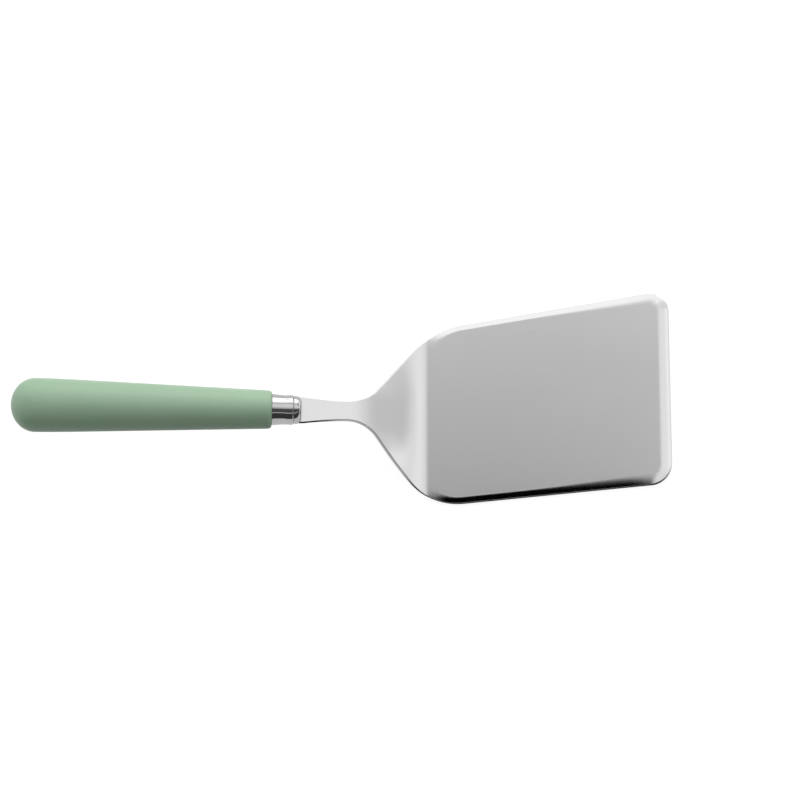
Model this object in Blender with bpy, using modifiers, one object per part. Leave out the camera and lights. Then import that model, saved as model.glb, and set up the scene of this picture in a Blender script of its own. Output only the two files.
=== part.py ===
"""Lasagna server: a cranked sheet-steel blade on a round moulded handle.

The blade's plate lies flat. Behind its heel line the neck rises, narrows and bends again into
a straight shank. The shank seats in a slotted bolster, and its tang runs on through a flared
ferrule into the handle, where cured adhesive holds it.

World frame: metres, +Z up, +X towards the blade's front edge. The origin is the middle of the
plate's flat underside, and everything is symmetric about the plane y = 0.
"""

from math import acos, ceil, cos, pi, radians, sin, tan

import bmesh
import bpy
from mathutils import Vector

# Blade seen from the side: lengths and radii are those of the middle of the sheet
SHEET = 0.0020
PLATE_LENGTH = 0.1092
HEEL_BEND_RADIUS = 0.0116
NECK_ANGLE = radians(43.8)
NECK_LENGTH = 0.0180
SHOULDER_BEND_RADIUS = 0.0278
HANDLE_ANGLE = radians(25.3)
SHANK_LENGTH = 0.0215

# Blade seen from above, laid out flat: the heel width is where flare and side would meet
FRONT_WIDTH = 0.0870
HEEL_WIDTH = 0.0811
FLARE_LENGTH = 0.0302
WAIST_WIDTH = 0.0087
SHANK_END_WIDTH = 0.0114
NECK_FILLET_RADIUS = 0.0178
HEEL_CORNER_RADIUS = 0.0330
FRONT_CORNER_RADIUS = 0.0090

# Facets ground on the plate's upper face, and the small broken edge elsewhere
FACET_ANGLE = radians(14)
FRONT_FACET = 0.0042
SIDE_FACET_FRONT = 0.0032
SIDE_FACET_HEEL = 0.0023
FACET_RUN_OUT = 0.0150
BROKEN_EDGE = 0.0003

# Tang, from the shank's shoulders into the handle
SHANK_SEAT = 0.0030
SHOULDER_LENGTH = 0.0010
TANG_WIDTH = 0.0050
TANG_LENGTH = 0.0620
TANG_TIP_LENGTH = 0.0040
TANG_TIP_WIDTH = 0.0030

# Bolster: a dome with a spigot that enters the ferrule
DOME_RADIUS = 0.0062
DOME_LENGTH = 0.0043
BOLSTER_SPIGOT = 0.0030

# Ferrule: a sleeve that flares to a lip at the handle
FERRULE_LENGTH = 0.0088
FERRULE_BORE_RADIUS = 0.0055
FERRULE_NOSE_RADIUS = 0.00655
FERRULE_WAIST_RADIUS = 0.0064
FERRULE_LIP_RADIUS = 0.0072
FERRULE_FLARE = 0.0036
FERRULE_EDGE_RADIUS = 0.0004
FLARE_POWER = 1.6

# Handle: a blunt half-ellipse at the butt, and a taper to a rounded end
HANDLE_LENGTH = 0.1126
HANDLE_WIDEST_RADIUS = 0.0117
HANDLE_END_RADIUS = 0.00835
HANDLE_FACE_RADIUS = 0.0073
END_ROUND_LENGTH = 0.0022
BUTT_LENGTH = 0.0105
TAPER_POWER = 14

# Adhesive round the tang
BORE_RADIUS = 0.0038
ADHESIVE_END = 0.0030

# Clearance between pieces that touch, and how far a cutter passes what it cuts
CLEARANCE = 0.0003
OVERRUN = 0.0010

# Fineness
STATION_STEP = 0.0025
BEND_STATION_STEP = 0.0013
CORNER_STEPS = 10
TURN_STEPS = 56
CURVE_STEPS = 10
TAPER_STEPS = 14
MERGE_DISTANCE = 0.00001
SMOOTH_LIMIT = radians(35)

# Material colours are linear RGB
STEEL_COLOUR = (0.56, 0.57, 0.58)
CHROME_COLOUR = (0.72, 0.73, 0.74)
HANDLE_COLOUR = (0.305, 0.440, 0.315)
ADHESIVE_COLOUR = (0.50, 0.42, 0.25)

# Places along the sheet, behind the heel line
HEEL_BEND_END = HEEL_BEND_RADIUS * NECK_ANGLE
NECK_END = HEEL_BEND_END + NECK_LENGTH
SHANK_START = NECK_END + SHOULDER_BEND_RADIUS * (NECK_ANGLE - HANDLE_ANGLE)

# Places along the handle's axis, from the end of the shoulder bend towards the butt
DOME_TIP = SHANK_LENGTH
DOME_BASE = DOME_TIP + DOME_LENGTH
SHANK_SHOULDER = DOME_TIP + SHANK_SEAT
TANG_END = SHANK_SHOULDER + TANG_LENGTH
FERRULE_NOSE = DOME_BASE + CLEARANCE
FERRULE_LIP = FERRULE_NOSE + FERRULE_LENGTH
HANDLE_FACE = FERRULE_LIP + CLEARANCE
HANDLE_BUTT = HANDLE_FACE + HANDLE_LENGTH
HANDLE_SPIGOT_FACE = DOME_BASE + BOLSTER_SPIGOT + CLEARANCE
ADHESIVE_BACK = TANG_END + ADHESIVE_END
BORE_END = ADHESIVE_BACK + CLEARANCE

# Half sizes of what passes through the slots
SLOT_HALF_THICKNESS = SHEET / 2 + CLEARANCE
TANG_SLOT_HALF_WIDTH = TANG_WIDTH / 2 + CLEARANCE


def clear_scene():
    for obj in list(bpy.data.objects):
        bpy.data.objects.remove(obj, do_unlink=True)


def new_collection(name):
    collection = bpy.data.collections.new(name)
    bpy.context.scene.collection.children.link(collection)
    return collection


def new_material(name, colour, metallic, roughness):
    material = bpy.data.materials.new(name)
    material.use_nodes = True
    shader = material.node_tree.nodes["Principled BSDF"]
    shader.inputs["Base Color"].default_value = (*colour, 1)
    shader.inputs["Metallic"].default_value = metallic
    shader.inputs["Roughness"].default_value = roughness
    material.diffuse_color = (*colour, 1)
    return material


def new_object(name, mesh, collection):
    obj = bpy.data.objects.new(name, mesh)
    collection.objects.link(obj)
    return obj


def sheet_point(along, across, height):
    """World point of the bent blade, from its place on the flat layout.

    along runs forwards from the heel line, across is y, and height is 0 on the sheet's lower
    face and SHEET on its upper one. Behind the heel line the sheet climbs an arc to the neck's
    angle, runs straight, and eases over an arc back to the handle's angle.
    """
    behind = max(-along, 0)
    heel_turn = min(behind / HEEL_BEND_RADIUS, NECK_ANGLE)
    neck_run = min(max(behind - HEEL_BEND_END, 0), NECK_LENGTH)
    shoulder_turn = max(behind - NECK_END, 0) / SHOULDER_BEND_RADIUS
    shoulder_turn = min(shoulder_turn, NECK_ANGLE - HANDLE_ANGLE)
    shank_run = max(behind - SHANK_START, 0)
    angle = heel_turn - shoulder_turn
    back = (
        HEEL_BEND_RADIUS * sin(heel_turn)
        + neck_run * cos(NECK_ANGLE)
        + SHOULDER_BEND_RADIUS * (sin(NECK_ANGLE) - sin(NECK_ANGLE - shoulder_turn))
        + shank_run * cos(HANDLE_ANGLE)
    )
    up = (
        HEEL_BEND_RADIUS * (1 - cos(heel_turn))
        + neck_run * sin(NECK_ANGLE)
        + SHOULDER_BEND_RADIUS * (cos(NECK_ANGLE - shoulder_turn) - cos(NECK_ANGLE))
        + shank_run * sin(HANDLE_ANGLE)
    )
    ahead = max(along, 0) - PLATE_LENGTH / 2 - back
    lift = height - SHEET / 2
    return Vector((ahead + lift * sin(angle), across, SHEET / 2 + up + lift * cos(angle)))


def rounded_corner(before, corner, after, radius):
    """Points of the arc that is tangent to both legs of a corner."""
    first_leg = (before - corner).normalized()
    last_leg = (after - corner).normalized()
    half_angle = acos(first_leg.dot(last_leg)) / 2
    start = corner + first_leg * radius / tan(half_angle)
    middle = (first_leg + last_leg).normalized()
    centre = corner + middle * radius / sin(half_angle)
    turn = pi - 2 * half_angle
    from_centre = (start - centre).normalized()
    onwards = -first_leg
    return [
        centre
        + from_centre * radius * cos(turn * step / CORNER_STEPS)
        + onwards * radius * sin(turn * step / CORNER_STEPS)
        for step in range(CORNER_STEPS + 1)
    ]


def divided(points, stops):
    """The same outline with points added where the sheet's bends start and end, and between."""
    fuller = []
    for first, last in zip(points, points[1:]):
        inside = sorted(stop for stop in stops if first.x < stop < last.x)
        places = [first.x, *inside, last.x]
        for start, end in zip(places, places[1:]):
            bent = -SHANK_START <= start < 0
            count = ceil((end - start) / (BEND_STATION_STEP if bent else STATION_STEP))
            for number in range(count):
                share = (start + (end - start) * number / count - first.x) / (last.x - first.x)
                fuller.append(first.lerp(last, share))
    return [*fuller, points[-1]]


def blade_outline():
    """One side of the flat layout, as (along, half width), from the bolster to the front edge."""
    waist = Vector((-FLARE_LENGTH - NECK_FILLET_RADIUS, WAIST_WIDTH / 2))
    flare_foot = Vector((-FLARE_LENGTH, WAIST_WIDTH / 2))
    heel = Vector((0, HEEL_WIDTH / 2))
    front = Vector((PLATE_LENGTH, FRONT_WIDTH / 2))
    middle = Vector((PLATE_LENGTH, 0))
    neck_fillet = rounded_corner(waist, flare_foot, heel, NECK_FILLET_RADIUS)
    heel_corner = rounded_corner(flare_foot, heel, front, HEEL_CORNER_RADIUS)
    front_corner = rounded_corner(heel, front, middle, FRONT_CORNER_RADIUS)
    shank_end = -SHANK_START - DOME_TIP
    shank_side = [
        Vector(
            (
                shank_end + (neck_fillet[0].x - shank_end) * step / CURVE_STEPS,
                WAIST_WIDTH / 2
                + (SHANK_END_WIDTH - WAIST_WIDTH) / 2 * (1 - step / CURVE_STEPS) ** 2,
            )
        )
        for step in range(CURVE_STEPS)
    ]
    run = [*shank_side, *neck_fillet, *heel_corner, front_corner[0]]
    stops = (-SHANK_START, -NECK_END, -HEEL_BEND_END, 0)
    return divided(run, stops) + front_corner[1:]


def facet_width(along, forwards):
    """Width of the facet at one place of the outline, forwards being its normal's x."""
    grown = min(max(along / FACET_RUN_OUT, 0), 1)
    run_out = grown * grown * (3 - 2 * grown)
    side = SIDE_FACET_HEEL + (SIDE_FACET_FRONT - SIDE_FACET_HEEL) * along / PLATE_LENGTH
    side = BROKEN_EDGE + (side - BROKEN_EDGE) * run_out
    front_share = max(forwards, 0) ** 2
    return side + (FRONT_FACET - side) * front_share


def blade_section(along, half_width, normal):
    """One closed section of the blade: half of it, from the lower face's edge to the crease."""
    facet = facet_width(along, normal.x)
    edge_height = SHEET - facet * tan(FACET_ANGLE)
    crease = Vector((along, half_width)) - normal * facet
    return [(along, half_width, 0), (along, half_width, edge_height), (crease.x, crease.y, SHEET)]


def tang_sections():
    """Plain sections from the tang's tip to the shank's shoulders."""
    places = (
        (TANG_END, TANG_TIP_WIDTH),
        (TANG_END - TANG_TIP_LENGTH, TANG_WIDTH),
        (SHANK_SHOULDER, TANG_WIDTH),
        (SHANK_SHOULDER - SHOULDER_LENGTH, SHANK_END_WIDTH),
    )
    sections = []
    for behind, width in places:
        along = -SHANK_START - behind
        sections.append(blade_section(along, width / 2, Vector((0, 1))))
    return sections


def make_blade(collection, material):
    """Loft through the tang's, shank's, neck's and plate's unlike sections."""
    outline = blade_outline()
    sections = tang_sections()
    for number, point in enumerate(outline):
        before = outline[max(number - 1, 0)]
        after = outline[min(number + 1, len(outline) - 1)]
        heading = (after - before).normalized()
        if number == len(outline) - 1:
            heading = Vector((0, -1))
        sections.append(blade_section(point.x, point.y, Vector((-heading.y, heading.x))))
    mesh = bpy.data.meshes.new("blade")
    shape = bmesh.new()
    rings = []
    for half in sections:
        left = [shape.verts.new(sheet_point(*place)) for place in half]
        right = [shape.verts.new(sheet_point(x, -y, z)) for x, y, z in reversed(half)]
        rings.append(left + right)
    for ring, following in zip(rings, rings[1:]):
        for number in range(len(ring)):
            across = (number + 1) % len(ring)
            shape.faces.new((ring[number], ring[across], following[across], following[number]))
    shape.faces.new(rings[0])
    lower, edge, crease, far_crease, far_edge, far_lower = rings[-1]
    shape.faces.new((lower, edge, far_edge, far_lower))
    shape.faces.new((edge, crease, far_crease, far_edge))
    bmesh.ops.recalc_face_normals(shape, faces=shape.faces)
    shape.to_mesh(mesh)
    shape.free()
    mesh.shade_smooth()
    mesh.set_sharp_from_angle(angle=FACET_ANGLE / 2)
    mesh.materials.append(material)
    return new_object("blade", mesh, collection)


def settled(obj, material):
    """Gives the object the mesh that its modifiers make, shaded smooth between its sharp edges."""
    bpy.context.view_layer.update()
    graph = bpy.context.evaluated_depsgraph_get()
    mesh = bpy.data.meshes.new_from_object(obj.evaluated_get(graph))
    obj.modifiers.clear()
    obj.data = mesh
    mesh.name = obj.name
    mesh.shade_smooth()
    mesh.set_sharp_from_angle(angle=SMOOTH_LIMIT)
    mesh.materials.clear()
    mesh.materials.append(material)
    return obj


def turned(name, profile, closed, axis, collection):
    """A turned piece: the profile's (radius, place) points run down its outer side."""
    mesh = bpy.data.meshes.new(name)
    edges = [(number, number + 1) for number in range(len(profile) - 1)]
    if closed:
        edges.append((len(profile) - 1, 0))
    mesh.from_pydata([(radius, 0, place) for radius, place in profile], edges, [])
    obj = new_object(name, mesh, collection)
    obj.parent = axis
    screw = obj.modifiers.new("turn", "SCREW")
    screw.axis = "Z"
    screw.angle = 2 * pi
    screw.steps = TURN_STEPS
    screw.render_steps = TURN_STEPS
    screw.use_merge_vertices = True
    screw.merge_threshold = MERGE_DISTANCE
    return obj


def slab_cutter(name, outline, axis, collection):
    """A flat cutter as thick as the blade's slots, from its (across, place) outline."""
    mesh = bpy.data.meshes.new(name)
    shape = bmesh.new()
    face = shape.faces.new(
        [shape.verts.new((-SLOT_HALF_THICKNESS, across, place)) for across, place in outline]
    )
    extruded = bmesh.ops.extrude_face_region(shape, geom=[face])
    moved = [item for item in extruded["geom"] if isinstance(item, bmesh.types.BMVert)]
    bmesh.ops.translate(shape, verts=moved, vec=(2 * SLOT_HALF_THICKNESS, 0, 0))
    bmesh.ops.recalc_face_normals(shape, faces=shape.faces)
    shape.to_mesh(mesh)
    shape.free()
    cutter = new_object(name, mesh, collection)
    cutter.parent = axis
    cutter.hide_render = True
    cutter.display_type = "WIRE"
    return cutter


def cut(obj, cutter):
    boolean = obj.modifiers.new(cutter.name, "BOOLEAN")
    boolean.operation = "DIFFERENCE"
    boolean.solver = "EXACT"
    boolean.object = cutter


def quarter_ellipse(radius_from, radius_to, place_from, place_to, steps):
    """Points from the blunt end (radius_from) to the full radius (radius_to)."""
    points = []
    for step in range(steps + 1):
        angle = pi / 2 * step / steps
        radius = radius_from + (radius_to - radius_from) * sin(angle)
        points.append((radius, place_to + (place_from - place_to) * cos(angle)))
    return points


def make_bolster(axis, parts, cutters, material):
    """A dome slotted right across for the shank, and through its spigot for the tang."""
    spigot_radius = FERRULE_BORE_RADIUS - CLEARANCE
    spigot_face = DOME_BASE + BOLSTER_SPIGOT
    dome = quarter_ellipse(0, DOME_RADIUS, DOME_TIP, DOME_BASE, CURVE_STEPS)
    profile = [
        (0, spigot_face),
        (spigot_radius, spigot_face),
        (spigot_radius, DOME_BASE),
        *reversed(dome),
    ]
    bolster = turned("bolster", profile, False, axis, parts)
    reach = DOME_RADIUS + OVERRUN
    slot_floor = SHANK_SHOULDER + CLEARANCE
    outline = (
        (-reach, DOME_TIP - OVERRUN),
        (reach, DOME_TIP - OVERRUN),
        (reach, slot_floor),
        (TANG_SLOT_HALF_WIDTH, slot_floor),
        (TANG_SLOT_HALF_WIDTH, spigot_face + OVERRUN),
        (-TANG_SLOT_HALF_WIDTH, spigot_face + OVERRUN),
        (-TANG_SLOT_HALF_WIDTH, slot_floor),
        (-reach, slot_floor),
    )
    cut(bolster, slab_cutter("bolster_slot", outline, axis, cutters))
    return settled(bolster, material)


def make_ferrule(axis, parts, material):
    """A sleeve whose side swells slightly towards the nose and flares to the lip."""
    waist = FERRULE_LIP - FERRULE_FLARE
    rounding = FERRULE_EDGE_RADIUS
    profile = [(FERRULE_BORE_RADIUS, FERRULE_LIP)]
    for step in range(CURVE_STEPS + 1):
        share = 1 - step / CURVE_STEPS
        swell = (FERRULE_LIP_RADIUS - FERRULE_WAIST_RADIUS) * share**FLARE_POWER
        profile.append((FERRULE_WAIST_RADIUS + swell, waist + FERRULE_FLARE * share))
    nose_end = FERRULE_NOSE + rounding
    profile += reversed(
        quarter_ellipse(
            FERRULE_NOSE_RADIUS - rounding, FERRULE_NOSE_RADIUS, FERRULE_NOSE, nose_end, CURVE_STEPS // 2
        )
    )
    profile.append((FERRULE_BORE_RADIUS, FERRULE_NOSE))
    return settled(turned("ferrule", profile, True, axis, parts), material)


def make_handle(axis, parts, material):
    """Butt, taper and rounded end outside; a spigot for the ferrule and a blind bore inside."""
    widest = HANDLE_BUTT - BUTT_LENGTH
    end_round = HANDLE_FACE + END_ROUND_LENGTH
    profile = quarter_ellipse(0, HANDLE_WIDEST_RADIUS, HANDLE_BUTT, widest, CURVE_STEPS)
    for step in range(1, TAPER_STEPS):
        share = 1 - step / TAPER_STEPS
        eased = share + (share - share**TAPER_POWER) / (TAPER_POWER - 1)
        radius = HANDLE_END_RADIUS + (HANDLE_WIDEST_RADIUS - HANDLE_END_RADIUS) * eased
        profile.append((radius, end_round + (widest - end_round) * share))
    profile += reversed(
        quarter_ellipse(
            HANDLE_FACE_RADIUS, HANDLE_END_RADIUS, HANDLE_FACE, end_round, CURVE_STEPS // 2
        )
    )
    spigot_radius = FERRULE_BORE_RADIUS - CLEARANCE
    profile += [
        (spigot_radius, HANDLE_FACE),
        (spigot_radius, HANDLE_SPIGOT_FACE),
        (BORE_RADIUS, HANDLE_SPIGOT_FACE),
        (BORE_RADIUS, BORE_END),
        (0, BORE_END),
    ]
    return settled(turned("handle", profile, False, axis, parts), material)


def make_adhesive(axis, parts, cutters, material):
    """The filling of the handle's bore, cast round the tang."""
    radius = BORE_RADIUS - CLEARANCE
    profile = [
        (0, ADHESIVE_BACK),
        (radius, ADHESIVE_BACK),
        (radius, HANDLE_SPIGOT_FACE),
        (0, HANDLE_SPIGOT_FACE),
    ]
    adhesive = turned("tang_adhesive", profile, False, axis, parts)
    outline = (
        (-TANG_SLOT_HALF_WIDTH, HANDLE_SPIGOT_FACE - OVERRUN),
        (TANG_SLOT_HALF_WIDTH, HANDLE_SPIGOT_FACE - OVERRUN),
        (TANG_SLOT_HALF_WIDTH, TANG_END + CLEARANCE),
        (-TANG_SLOT_HALF_WIDTH, TANG_END + CLEARANCE),
    )
    cut(adhesive, slab_cutter("tang_slot", outline, axis, cutters))
    return settled(adhesive, material)


def main():
    clear_scene()
    parts = new_collection("lasagna_server")
    cutters = new_collection("cutters")
    steel = new_material("satin_steel", STEEL_COLOUR, 1, 0.28)
    chrome = new_material("bright_chrome", CHROME_COLOUR, 1, 0.08)
    resin = new_material("sage_resin", HANDLE_COLOUR, 0, 0.42)
    glue = new_material("cured_adhesive", ADHESIVE_COLOUR, 0, 0.6)
    axis = new_object("handle_axis", None, parts)
    axis.location = sheet_point(-SHANK_START, 0, SHEET / 2)
    axis.rotation_euler = (0, HANDLE_ANGLE - pi / 2, 0)
    make_blade(parts, steel)
    make_bolster(axis, parts, cutters, chrome)
    make_ferrule(axis, parts, chrome)
    make_handle(axis, parts, resin)
    make_adhesive(axis, parts, cutters, glue)


main()
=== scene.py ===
# %% [markdown]
# # A lasagna server, dressed for its photograph
#
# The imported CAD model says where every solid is. This lesson builds the four pieces that show
# once more, as fine surfaces with soft creases and rounded edges, gives each its finish, and
# lights the whole as a tabletop studio does.

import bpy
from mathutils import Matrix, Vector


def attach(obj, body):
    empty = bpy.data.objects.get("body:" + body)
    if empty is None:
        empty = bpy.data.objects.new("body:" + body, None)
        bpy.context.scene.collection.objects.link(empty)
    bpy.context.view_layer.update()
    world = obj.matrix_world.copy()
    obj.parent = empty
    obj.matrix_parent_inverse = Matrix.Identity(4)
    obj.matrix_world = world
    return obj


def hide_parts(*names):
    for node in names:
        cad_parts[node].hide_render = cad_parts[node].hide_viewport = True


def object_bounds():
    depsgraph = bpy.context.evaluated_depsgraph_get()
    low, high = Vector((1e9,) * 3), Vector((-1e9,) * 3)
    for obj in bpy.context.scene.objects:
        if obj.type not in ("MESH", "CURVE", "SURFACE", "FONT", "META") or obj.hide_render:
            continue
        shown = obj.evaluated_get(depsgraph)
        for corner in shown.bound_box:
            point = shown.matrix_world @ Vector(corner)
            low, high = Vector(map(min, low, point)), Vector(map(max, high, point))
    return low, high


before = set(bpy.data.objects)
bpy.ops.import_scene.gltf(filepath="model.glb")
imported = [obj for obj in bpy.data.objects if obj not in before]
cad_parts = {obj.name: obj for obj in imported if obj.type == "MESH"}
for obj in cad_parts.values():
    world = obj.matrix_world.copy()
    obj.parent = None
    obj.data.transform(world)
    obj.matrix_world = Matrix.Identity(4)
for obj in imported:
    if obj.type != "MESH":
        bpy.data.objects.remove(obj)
cad_box = [list(corner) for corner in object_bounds()]
print("CAD nodes:", sorted(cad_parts))

# %% [markdown]
# ## Sizes
#
# The model's sizes are repeated here in metres, because the CAD source can't be read from this
# script. The origin is the middle of the plate's flat underside, +X points to the front edge
# and +Z is up. "Behind" means towards the handle. Two sizes differ from the CAD model's: the
# bends ease in and out here, which takes a different length of metal, so the neck is 1.3 mm
# longer and the shank 1.4 mm shorter, and the bolster sits where the CAD model has it. Later
# cells give the smaller forms, such as facets, dome and flare, finer sizes of their own.

# %% Sizes of the real object
from math import cos, pi, radians, sin, tan

import bpy
import numpy as np
from mathutils import Matrix, Vector

SHEET = 0.0020
PLATE_LENGTH = 0.1092
HEEL_BEND_RADIUS = 0.0116
NECK_ANGLE = radians(43.8)
NECK_LENGTH = 0.01930
SHOULDER_BEND_RADIUS = 0.0278
HANDLE_ANGLE = radians(25.3)
SHANK_LENGTH = 0.02011
HEEL_BEND_END = HEEL_BEND_RADIUS * NECK_ANGLE
NECK_END = HEEL_BEND_END + NECK_LENGTH
SHANK_START = NECK_END + SHOULDER_BEND_RADIUS * (NECK_ANGLE - HANDLE_ANGLE)
print(f"sheet behind the heel line: {1000 * (SHANK_START + SHANK_LENGTH):.1f} mm to the bolster")

# %% [markdown]
# ## From the flat blank to the bent blade
#
# The real blade is stamped flat and then bent twice, at the heel and at the shoulder. The same
# order is the easiest way to model it: a shape is drawn on the flat layout, and one function
# then bends any array of its points. Everything drawn on the blank stays true to the metal,
# because the length along the middle of the sheet doesn't change. Sheet metal never changes
# from straight to round at a line, so the curvature of each bend grows and fades on a ramp. Two
# plain arcs would be simpler, but their reflections would begin with a hard line.
#
# Pressing a wide sheet over a short bend leaves a trace: the neck's flanks lag behind its
# middle by about a millimetre and a half, so the bright band along the heel widens to the near
# side.

# %% Bend the flat layout
NECK_CROWN = 0.0016
CROWN_ACROSS = (0.0060, 0.0260)
CROWN_RISE = (0.0040, 0.0240)
CROWN_FALL = (0.0240, 0.0400)
HEEL_START_EASE = 0.0020
HEEL_END_EASE = 0.0058
SHOULDER_EASE = 0.0040
LINE_STEP = 0.00001
TANG_RUN = 0.0600


def smooth_share(value):
    """3 v^2 - 2 v^3, which leaves 0 and arrives at 1 without a kink."""
    value = np.clip(value, 0, 1)
    return value * value * (3 - 2 * value)


def smooth_between(value, span):
    """The smooth share of the way from the span's start to its end."""
    start, end = span
    return smooth_share((value - start) / (end - start))


def crown(behind, across):
    """How far the flanks lag: the crown times eased shares of the way back and the way out."""
    rise = smooth_between(behind, CROWN_RISE)
    fall = smooth_between(behind, CROWN_FALL)
    return NECK_CROWN * rise * (1 - fall) * smooth_between(np.abs(across), CROWN_ACROSS)


def middle_line():
    """Places behind the heel line, with the sheet's angle, way back and way up at each.

    The curvature is laid out as straight ramps between knots, and summed up once for the angle
    and once more, as cosine and sine, for the way back and up.
    """
    knots, bends = [], []
    for place, ease, before, after in (
        (0, HEEL_START_EASE, 0, 1 / HEEL_BEND_RADIUS),
        (HEEL_BEND_END, HEEL_END_EASE, 1 / HEEL_BEND_RADIUS, 0),
        (NECK_END, SHOULDER_EASE, 0, -1 / SHOULDER_BEND_RADIUS),
        (SHANK_START, SHOULDER_EASE, -1 / SHOULDER_BEND_RADIUS, 0),
    ):
        knots += [place - ease, place + ease]
        bends += [before, after]
    behind = np.arange(-HEEL_START_EASE, 2 * SHANK_START + TANG_RUN, LINE_STEP)

    def summed(values):
        return np.concatenate([[0], np.cumsum((values[1:] + values[:-1]) / 2 * LINE_STEP)])

    angle = summed(np.interp(behind, knots, bends))
    return behind, angle, summed(np.cos(angle)) - HEEL_START_EASE, summed(np.sin(angle))


LINE = middle_line()


def bent_sheet(along, across, height):
    """World points of the bent blade, from places on its flat layout.

    Ahead of the heel line the sheet lies flat. Behind it the middle of the sheet climbs a bend
    to the neck's angle, runs straight, and eases over a second bend back to the handle's angle.
    Height is square to the sheet: point = middle(along) + (height - half a sheet) * normal.
    """
    along, across, height = np.broadcast_arrays(along, across, height)
    angle, back, up = [np.interp(-along, LINE[0], values) for values in LINE[1:]]
    ahead = np.where(-along > LINE[0][0], -back, along) - PLATE_LENGTH / 2
    lift = height - SHEET / 2 - crown(-along, across)
    above = SHEET / 2 + up + lift * np.cos(angle)
    return np.stack([ahead + lift * np.sin(angle), across, above], axis=-1)


shank_end = -SHANK_START - SHANK_LENGTH
print("bolster end of the shank:", np.round(bent_sheet(shank_end, 0, SHEET / 2), 4))

# %% [markdown]
# ## Grids, welds and pieces
#
# Every new piece is made of grids of points. Neighbouring grids share their border points, and
# a pole is a whole row in one place, so a weld turns them into one closed skin. The sign of the
# enclosed volume then tells which way the faces look, and they are turned outwards if they
# must be. That turns a piece as a whole, so its grids have to agree: the count of bad edges
# shows at once if one of them runs the wrong way. Modelling the pieces with a subdivision
# surface would be possible too, but it would pull the sheet's crisp edges away from their
# measured places.

# %% Grids, welds and pieces
CLOSENESS = 1e-6
WELD_SHIFT = 0.137
SHARP_EDGE = radians(38)


def grid_quads(rows, columns, round_rows=False, round_columns=False):
    """Quads of a grid: each joins a point to the next in its row, across, and in its column."""
    row, column = np.meshgrid(
        np.arange(rows if round_rows else rows - 1),
        np.arange(columns if round_columns else columns - 1),
        indexing="ij",
    )
    next_row, next_column = (row + 1) % rows, (column + 1) % columns
    corners = [(row, column), (next_row, column), (next_row, next_column), (row, next_column)]
    return np.stack([(r * columns + c).ravel() for r, c in corners], axis=1)


def joined(grids):
    """One list of points and one of quads, from (points, round_rows, round_columns) grids."""
    points, quads, count = [], [], 0
    for grid, round_rows, round_columns in grids:
        rows, columns = grid.shape[:2]
        points.append(grid.reshape(-1, 3))
        quads.append(grid_quads(rows, columns, round_rows, round_columns) + count)
        count += rows * columns
    return np.concatenate(points), np.concatenate(quads)


def welded(points, quads):
    """Points in one place become one. A quad that loses a corner is then a triangle.

    The odd shift keeps tidy coordinates off the limits between two rounded numbers.
    """
    keys = np.round(points / CLOSENESS + WELD_SHIFT).astype(np.int64)
    _, first, number = np.unique(keys, axis=0, return_index=True, return_inverse=True)
    quads = number.ravel()[quads]
    lost = quads == np.roll(quads, -1, axis=1)
    whole = quads[lost.sum(axis=1) == 0]
    short, lost = quads[lost.sum(axis=1) == 1], lost[lost.sum(axis=1) == 1]
    triangles = short[np.arange(4) != lost.argmax(axis=1)[:, None]].reshape(-1, 3)
    return first, whole, triangles


def volume_inside(points, whole, triangles):
    """Sum of the signed volumes that the faces span with the origin."""
    fans = np.concatenate([whole[:, [0, 1, 2]], whole[:, [0, 2, 3]], triangles])
    a, b, c = points[fans[:, 0]], points[fans[:, 1]], points[fans[:, 2]]
    return np.einsum("ij,ij->", a, np.cross(b, c)) / 6


def bad_edges(whole, triangles):
    """How many edges don't join exactly two faces that look to the same side of the skin."""
    pairs = np.concatenate(
        [
            np.stack([faces, np.roll(faces, -1, axis=1)], axis=-1).reshape(-1, 2)
            for faces in (whole, triangles)
        ]
    )
    _, number, uses = np.unique(
        np.sort(pairs, axis=1), axis=0, return_inverse=True, return_counts=True
    )
    forwards = np.bincount(number.ravel(), weights=pairs[:, 0] < pairs[:, 1])
    return int(((uses != 2) | (forwards != 1)).sum())


def add_piece(name, grids, node, finish, traits=None, layout=None):
    """Welds grids into a closed piece that stands for a CAD node, in that node's place."""
    points, quads = joined(grids)
    first, whole, triangles = welded(points, quads)
    points = points[first]
    volume = volume_inside(points, whole, triangles)
    if volume < 0:
        whole, triangles = whole[:, ::-1], triangles[:, ::-1]
    mesh = bpy.data.meshes.new(name)
    mesh.from_pydata(points.tolist(), [], whole.tolist() + triangles.tolist())
    for trait, values in (traits or {}).items():
        layer = mesh.attributes.new(trait, "FLOAT", "POINT")
        layer.data.foreach_set("value", values[first].astype(np.float32))
    if layout is not None:
        corners = np.empty(len(mesh.loops), np.int32)
        mesh.loops.foreach_get("vertex_index", corners)
        flat = mesh.uv_layers.new(name="flat_layout")
        flat.data.foreach_set("uv", layout[first][corners].astype(np.float32).ravel())
    mesh.shade_smooth()
    mesh.set_sharp_from_angle(angle=SHARP_EDGE)
    mesh.materials.append(finish)
    piece = bpy.data.objects.new(name, mesh)
    bpy.context.scene.collection.objects.link(piece)
    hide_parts(node)
    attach(piece, "root")
    faces, bad = 2 * len(whole) + len(triangles), bad_edges(whole, triangles)
    print(f"{name}: {faces} triangles, {1e6 * abs(volume):.2f} cm3, bad edges {bad}")


# %% [markdown]
# ## A short way to write finishes
#
# Each finish is a Principled surface whose colour, roughness and bump come from procedural
# nodes. The helper below only saves typing: it adds a node, sets its properties, and either
# joins a socket to each input or writes the value in. Noise seldom leaves the middle of its
# range, so a second helper stretches that part.

# %% A helper for finishes
NOISE_LOW = 0.3
NOISE_HIGH = 0.7


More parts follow.
